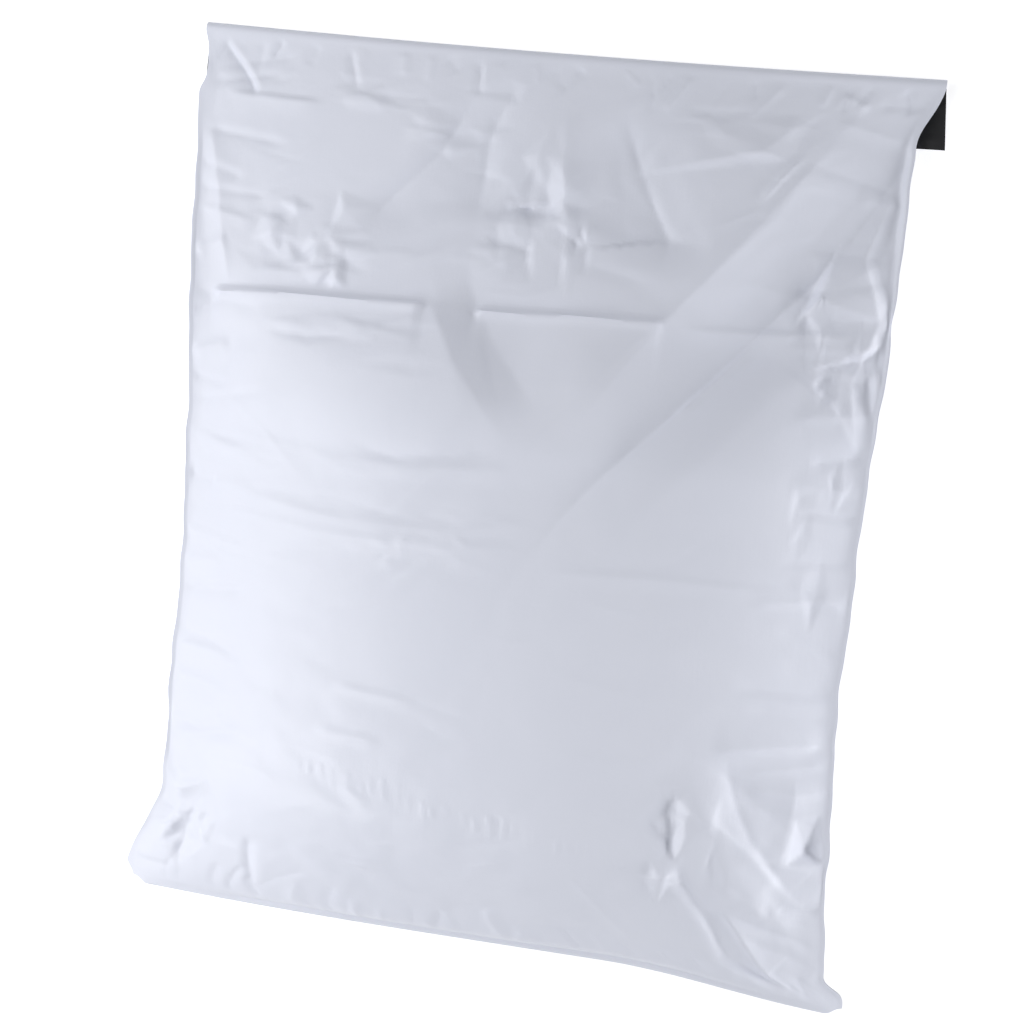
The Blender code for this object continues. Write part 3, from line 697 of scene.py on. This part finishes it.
def grid_piece(points):
    """Grid primitive laid on a grid of points."""
    rows, columns = points.shape[0] - 1, points.shape[1] - 1
    bpy.ops.mesh.primitive_grid_add(x_subdivisions=columns, y_subdivisions=rows, size=2)
    piece = bpy.context.object
    piece.data.vertices.foreach_set("co", points.astype(np.float32).ravel())
    piece.data.update()
    return piece


def join(pieces):
    """Joins pieces into the first one."""
    bpy.ops.object.select_all(action="DESELECT")
    for piece in pieces:
        piece.select_set(True)
    bpy.context.view_layer.objects.active = pieces[0]
    bpy.ops.object.join()
    return pieces[0]


def drawn_together(first, second):
    """Two grids of points with their four edges brought to one line."""
    first, second = first.copy(), second.copy()
    for edge in ((0,), (-1,), (slice(None), 0), (slice(None), -1)):
        middle = (first[edge] + second[edge]) / 2
        first[edge] = middle
        second[edge] = middle
    return first, second


def flat_web():
    """Grid points of the film as it was cut, one layer on the other."""
    s, t = panel_shares(COLUMNS, ROWS)
    sheet = np.stack((s * FLAT_WIDTH / 2, (t - 0.5) * FLAT_LENGTH, np.zeros_like(s)), axis=2)
    return np.concatenate((sheet, sheet))


def add_cloth(bag, volume):
    """Cloth settings of polyethylene film with air and goods inside."""
    cloth = bag.modifiers.new("film", "CLOTH")
    film = cloth.settings
    film.quality = 6
    film.mass = VERTEX_MASS
    film.tension_stiffness = film.compression_stiffness = 80
    film.shear_stiffness = 40
    film.bending_stiffness = 0.02
    film.tension_damping = film.compression_damping = film.shear_damping = 10
    film.bending_damping = 0.5
    film.air_damping = 2
    film.use_pressure = film.use_pressure_volume = True
    film.uniform_pressure_force = 0
    film.target_volume = volume
    film.pressure_factor = AIR_PRESSURE
    film.effector_weights.gravity = WEIGHT_SHARE
    film.rest_shape_key = bag.data.shape_keys.key_blocks["flat"]
    cloth.collision_settings.distance_min = 1 * MM


def vertex_places(mesh):
    """Places of a mesh's vertices as rows of an array."""
    places = np.empty(3 * len(mesh.vertices), dtype=np.float32)
    mesh.vertices.foreach_get("co", places)
    return places.reshape(-1, 3)


def weld_shut(bag):
    """Merges the edges of the two layers and returns the volume inside, in cubic metres."""
    bpy.ops.object.mode_set(mode="EDIT")
    bpy.ops.mesh.select_all(action="SELECT")
    bpy.ops.mesh.remove_doubles(threshold=FILM / 100)
    bpy.ops.mesh.normals_make_consistent(inside=False)
    bpy.ops.object.mode_set(mode="OBJECT")
    bm = bmesh.new()
    bm.from_mesh(bag.data)
    volume = bm.calc_volume()
    bm.free()
    return volume


def settle(front, back):
    """How far the settling moves every grid point of the front and of the back."""
    clearance = np.array((0, 0, FLOOR_CLEARANCE))
    bag = join([grid_piece(sheet + clearance) for sheet in drawn_together(front, back)])
    starts = vertex_places(bag.data)
    bag.shape_key_add(name="laid")
    flat = bag.shape_key_add(name="flat")
    flat.data.foreach_set("co", flat_web().astype(np.float32).ravel())
    add_cloth(bag, weld_shut(bag) * AIR_SHARE)
    bpy.ops.mesh.primitive_plane_add(size=2)
    table = bpy.context.object
    table.modifiers.new("table", "COLLISION")
    table.collision.thickness_outer = 1 * MM
    table.collision.cloth_friction = 20
    welded = vertex_places(bag.data).copy()
    tree = kdtree.KDTree(len(welded))
    for number, place in enumerate(welded):
        tree.insert(place, number)
    tree.balance()
    source = [tree.find(place)[1] for place in starts]
    for number in range(1, SETTLE_FRAMES + 1):
        bpy.context.scene.frame_set(number)
    settled = vertex_places(bag.evaluated_get(bpy.context.evaluated_depsgraph_get()).data)
    moved = (settled - welded)[source].reshape((2,) + front.shape)
    bpy.context.scene.frame_set(1)
    for spare in (bag, table):
        bpy.data.objects.remove(spare)
    return moved.astype(float)


def softened(values, passes):
    """Values evened out with their neighbours, the outermost ones staying."""
    for _ in range(passes):
        for axis in (0, 1):
            line = values.swapaxes(0, axis)
            inner = (line[:-2] + 2 * line[1:-1] + line[2:]) / 4
            values = np.concatenate((line[:1], inner, line[-1:])).swapaxes(0, axis)
    return values


def buckles(moved):
    """The part of a movement that buckles the film, without the sinking of the whole bag."""
    return (softened(moved, FINEST_PASSES) - softened(moved, BROADEST_PASSES)) * BUCKLE_SHARE


def doubled(values):
    """Values with one more between each two rows, on a smooth curve through them."""
    first, last = 2 * values[:1] - values[1:2], 2 * values[-1:] - values[-2:-1]
    padded = np.concatenate((first, values, last))
    middle = (9 * (padded[1:-2] + padded[2:-1]) - padded[:-3] - padded[3:]) / 16
    out = np.empty((2 * len(values) - 1,) + values.shape[1:])
    out[::2] = values
    out[1::2] = middle
    return out


def finer(values):
    """A grid of values with twice the rows and twice the columns."""
    return doubled(doubled(values).swapaxes(0, 1)).swapaxes(0, 1)


moved = settle(*lay_panels(COLUMNS, ROWS, START_AIR))
front, back = lay_panels(2 * COLUMNS, 2 * ROWS)
front = front + finer(buckles(moved[0]))
back = back + finer(buckles(moved[1]))
back[:, :, 2] = np.maximum(back[:, :, 2], 0)
front[:, :, 2] = np.maximum(front[:, :, 2], back[:, :, 2] + FIN)
print("sank", round(float(-moved[0, :, :, 2].min()), 4))
print("front panel", front.shape, "highest", round(float(front[:, :, 2].max()), 4))

# %% [markdown]
# ## The flap and the turns
# The flap lies under the top end of the bag. Its right end sticks out beyond the bag and
# shows the black inner side of the film. The film rolls round at the bottom fold, at the top
# fold and inside it at the mouth.

# %% Flap and turns
FLAP_FLARE = 3 * MM
FLAP_CURL = 5 * MM
FLAP_CURL_WIDTH = 28 * MM
FLAP_RIPPLE = 1.2 * MM
FLAP_RIPPLE_PLACES = (0.3, 0.85)
FLAP_RIPPLE_REACH = 0.1


def turn(lower, upper, rows):
    """Half-round turn of the film from a lower line of points to an upper one."""
    share = np.linspace(0, 1, rows + 1)[:, None]
    swing = np.pi * (share - 0.5)
    radius = (upper[None, :, 2] - lower[None, :, 2]) / 2
    outward = np.sign(lower[None, :, 1]) * radius * np.cos(swing)
    x = blend(lower[None, :, 0], upper[None, :, 0], share)
    y = blend(lower[None, :, 1], upper[None, :, 1], share) + outward
    z = (lower[None, :, 2] + upper[None, :, 2]) / 2 + radius * np.sin(swing)
    return np.stack((x, y, z), axis=2)


def lay_flap():
    """Grid points of the flap's outer and inner faces."""
    s = spread(np.linspace(-1, 1, front.shape[1]))[None, :]
    r = np.linspace(0, 1, FLAP_ROWS + 1)[:, None]
    x = s * HALF_WIDTH + FLAP_FLARE * ease(s) * r
    y = blend(front[-1, :, 1][None, :], TOP_EDGE - FLAP_LENGTH, r)
    lift = ease((s * HALF_WIDTH - HALF_WIDTH) / FLAP_CURL_WIDTH + 1)
    bands = sum(np.clip(1 - np.abs(r - at) / FLAP_RIPPLE_REACH, 0, 1) for at in FLAP_RIPPLE_PLACES)
    z = FLAP_CURL * lift * r * r + FLAP_RIPPLE * lift * bands
    outer = np.stack((x, y, z), axis=2)
    inner = outer + np.array((0, 0, FILM))
    return outer, inner


flap_outer, flap_inner = lay_flap()

# %% [markdown]
# ## Sewing the film together
# Each grid of points becomes a grid primitive. The pieces are joined, their shared lines are
# merged, and the small ends of the turns are filled, which leaves one closed skin. The back
# has few folds, so its triangles are thinned out until the whole film has a fixed number.

# %% Sew
WHITE_SLOT = 0
BLACK_SLOT = 1
CUT_SLOT = 2
TRIANGLES = 190000
SMOOTH_ANGLE = math.radians(50)


def make_material(name):
    """Material with an empty node tree."""
    material = bpy.data.materials.new(name)
    material.use_nodes = True
    material.node_tree.nodes.clear()
    return material


white_film = make_material("white film")
black_film = make_material("black inner film")
cut_edge = make_material("cut edge of the weld")


def film_piece(points, slot):
    """Grid primitive with the three film materials, all its faces in one slot."""
    piece = grid_piece(points)
    for material in (white_film, black_film, cut_edge):
        piece.data.materials.append(material)
    piece.data.polygons.foreach_set("material_index", [slot] * len(piece.data.polygons))
    return piece


back_piece = film_piece(back, WHITE_SLOT)
back_group = back_piece.vertex_groups.new(name="back")
back_group.add(range(len(back_piece.data.vertices)), 1, "REPLACE")
film = join([
    back_piece,
    film_piece(front, WHITE_SLOT),
    film_piece(turn(back[0], front[0], TURN_ROWS), WHITE_SLOT),
    film_piece(turn(flap_outer[0], front[-1], TURN_ROWS), WHITE_SLOT),
    film_piece(turn(flap_inner[0], back[-1], TURN_ROWS // 2), BLACK_SLOT),
    film_piece(flap_outer, WHITE_SLOT),
    film_piece(flap_inner, BLACK_SLOT),
    film_piece(np.stack((flap_outer[-1], flap_inner[-1])), BLACK_SLOT),
    film_piece(np.stack((back[:, 0], front[:, 0])), WHITE_SLOT),
    film_piece(np.stack((back[:, -1], front[:, -1])), CUT_SLOT),
])
film.name = "film_bag"
bpy.ops.object.mode_set(mode="EDIT")
bpy.ops.mesh.select_all(action="SELECT")
bpy.ops.mesh.remove_doubles(threshold=FILM / 100)
bpy.ops.mesh.fill_holes(sides=0)
bpy.ops.mesh.select_all(action="SELECT")
bpy.ops.mesh.normals_make_consistent(inside=False)
bpy.ops.mesh.quads_convert_to_tris()
bpy.ops.object.mode_set(mode="OBJECT")
thin = film.modifiers.new("thinner back", "DECIMATE")
thin.vertex_group = "back"
thin.ratio = TRIANGLES / len(film.data.polygons)
bpy.ops.object.modifier_apply(modifier=thin.name)
bpy.ops.object.shade_smooth_by_angle(angle=SMOOTH_ANGLE)
print("film", len(film.data.vertices), "vertices,", len(film.data.polygons), "triangles")

# %% [markdown]
# ## Shader arithmetic
# Wrapping a socket in a small class lets a value be written as a plain sum, which is easier
# to read than a row of Math nodes. Where a node has several outputs, the one that is used is
# named here by its number.

# %% Shader helpers
OBJECT_OUTPUT = 3
COLOUR_OUTPUT = 2
CAMERA_RAY_OUTPUT = 0
GLOSSY_RAY_OUTPUT = 3


class Value:
    """A number socket of a node tree that takes part in Python arithmetic."""

    def __init__(self, tree, socket):
        self.tree = tree
        self.socket = socket

    def math(self, operation, first, second):
        """Result of a Math node."""
        node = self.tree.nodes.new("ShaderNodeMath")
        node.operation = operation
        for target, value in zip(node.inputs, (first, second)):
            put(self.tree, target, value)
        return Value(self.tree, node.outputs[0])

    def __add__(self, other):
        return self.math("ADD", self, other)

    def __radd__(self, other):
        return self.math("ADD", other, self)

    def __mul__(self, other):
        return self.math("MULTIPLY", self, other)


def put(tree, target, value):
    """Sets a socket to a value, or links it."""
    if isinstance(value, Value):
        tree.links.new(value.socket, target)
    elif value is not None:
        target.default_value = value


class Finish:
    """Node tree of one material."""

    def __init__(self, material):
        self.tree = material.node_tree

    def node(self, kind, settings=None, sockets=None, output=0):
        """Adds a node of a kind, with its settings and its sockets' values or links."""
        node = self.tree.nodes.new(kind)
        for name, value in (settings or {}).items():
            setattr(node, name, value)
        for name, value in (sockets or {}).items():
            put(self.tree, node.inputs[name], value)
        return Value(self.tree, node.outputs[output]) if node.outputs else node

    def place(self, scale):
        """Object coordinates in metres, stretched by a scale."""
        point = self.node("ShaderNodeTexCoord", output=OBJECT_OUTPUT)
        return self.node("ShaderNodeMapping", None, {"Vector": point, "Scale": scale})

    def grain(self, scale, detail, stretch=(1, 1, 1)):
        """Noise with a scale in lumps a metre."""
        sockets = {"Vector": self.place(stretch), "Scale": scale, "Detail": detail}
        return self.node("ShaderNodeTexNoise", None, sockets)

    def bump(self, height, distance, strength, normal=None):
        """Bump from a height, with its distance in metres."""
        sockets = {"Height": height, "Distance": distance, "Strength": strength,
                   "Normal": normal}
        return self.node("ShaderNodeBump", None, sockets)

    def surface(self, **sockets):
        """Principled surface, its socket names written with _ for a space."""
        named = {name.replace("_", " "): value for name, value in sockets.items()}
        shader = self.node("ShaderNodeBsdfPrincipled", None, named)
        self.node("ShaderNodeOutputMaterial", None, {"Surface": shader})


# %% [markdown]
# ## White film
# The film is a smooth satin plastic with a faint blue cast. Its sheen spreads each highlight
# a little, and its surface is never quite flat: the extruder leaves faint lines along the
# web, and handling leaves a fine dimpling.

# %% White film finish
COOL_WHITE = (0.74, 0.765, 0.86, 1)
PALE_WHITE = (0.80, 0.82, 0.91, 1)

finish = Finish(white_film)
dimples = finish.grain(170, 3)
lines = finish.grain(60, 2, (9, 1, 1))
skin = finish.grain(1400, 2)
height = dimples * 0.7 + lines * 0.3
soft = finish.bump(height, 0.35 * MM, 0.5)
fine = finish.bump(skin, 0.02 * MM, 0.4, soft)
cloudiness = finish.grain(12, 2)
cast = finish.node("ShaderNodeMix", {"data_type": "RGBA"},
                   {"Factor": cloudiness, "A": COOL_WHITE, "B": PALE_WHITE}, COLOUR_OUTPUT)
finish.surface(Base_Color=cast, Roughness=0.38 + finish.grain(35, 3) * 0.14, Normal=fine,
               IOR=1.5, Specular_IOR_Level=0.35, Coat_Weight=0.12, Coat_Roughness=0.22)

# %% [markdown]
# ## Black inner film
# The inner layer carries carbon black, so that the contents don't show through. The flap's
# end shows it. Along the right weld the film's cut edge is coloured dark grey, a thin dark line.

# %% Black film and cut edge
CARBON_BLACK = (0.012, 0.012, 0.014, 1)
EDGE_GREY = (0.10, 0.105, 0.12, 1)

finish = Finish(black_film)
grain = finish.grain(260, 3)
finish.surface(Base_Color=CARBON_BLACK, Roughness=0.30 + grain * 0.2,
               Normal=finish.bump(grain, 0.3 * MM, 0.6), IOR=1.5)
# Only the right weld's edge is coloured dark grey; the left weld's edge has the white film.
finish = Finish(cut_edge)
finish.surface(Base_Color=EDGE_GREY, Roughness=0.4, IOR=1.5,
               Normal=finish.bump(finish.grain(500, 2), 0.2 * MM, 0.5))

# %% [markdown]
# ## Floor and light
# A long soft lamp on the left, a low weak one on the right and a small one on the camera side
# copy the light of the photograph. They graze the film, so every crease gets a bright flank.
# The floor is white to the camera and keeps the envelope's shadow.

# %% Floor, world and lamps
FLOOR_SIZE = 6.0
FLOOR_GLOW = 0.55
SKY_LIGHT = 0.37
FLOOR_WHITE = (0.86, 0.86, 0.87, 1)
SKY_WHITE = (0.97, 0.98, 1, 1)


def add_floor():
    """White floor that glows a little for the camera and in reflections only."""
    bpy.ops.mesh.primitive_plane_add(size=FLOOR_SIZE, location=(0, 0, 0))
    floor = bpy.context.object
    floor.name = "floor"
    material = make_material("white floor")
    floor.data.materials.append(material)
    finish = Finish(material)
    camera_ray = finish.node("ShaderNodeLightPath", output=CAMERA_RAY_OUTPUT)
    glossy_ray = finish.node("ShaderNodeLightPath", output=GLOSSY_RAY_OUTPUT)
    seen = camera_ray + glossy_ray
    finish.surface(Base_Color=FLOOR_WHITE, Roughness=0.9,
                   Emission_Color=(1, 1, 1, 1), Emission_Strength=seen * FLOOR_GLOW)
    return floor


def light_world():
    """Even light from all round, weaker than the white that the camera sees there."""
    world = bpy.data.worlds.new("studio")
    bpy.context.scene.world = world
    world.use_nodes = True
    world.node_tree.nodes.clear()
    finish = Finish(world)
    camera_ray = finish.node("ShaderNodeLightPath", output=CAMERA_RAY_OUTPUT)
    strength = camera_ray * (1 - SKY_LIGHT) + SKY_LIGHT
    sky = finish.node("ShaderNodeBackground", None, {"Color": SKY_WHITE, "Strength": strength})
    finish.node("ShaderNodeOutputWorld", None, {"Surface": sky})


def add_softbox(name, place, aim, size, power):
    """Rectangular lamp of a size in metres and a power in watts, turned to a point."""
    light = bpy.data.lights.new(name, "AREA")
    light.shape = "RECTANGLE"
    light.size, light.size_y = size
    light.energy = power
    lamp = bpy.data.objects.new(name, light)
    bpy.context.scene.collection.objects.link(lamp)
    place = Vector(place)
    lamp.location = place
    lamp.rotation_euler = (Vector(aim) - place).to_track_quat("-Z", "Y").to_euler()


floor = add_floor()
light_world()
add_softbox("left softbox", (-0.6, -0.05, 0.54), (-0.02, 0, 0.03), (1.2, 0.5), 4.7)
add_softbox("right softbox", (0.6, -0.04, 0.09), (0.1, 0, 0.03), (1.2, 0.14), 2.7)
add_softbox("front lamp", (-0.3, -0.4, 0.45), (0, 0, 0.03), (0.2, 0.2), 0.45)
bpy.context.scene.view_settings.view_transform = "Standard"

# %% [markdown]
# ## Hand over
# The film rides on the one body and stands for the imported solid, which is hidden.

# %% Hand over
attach(film, "root")
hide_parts("envelope")
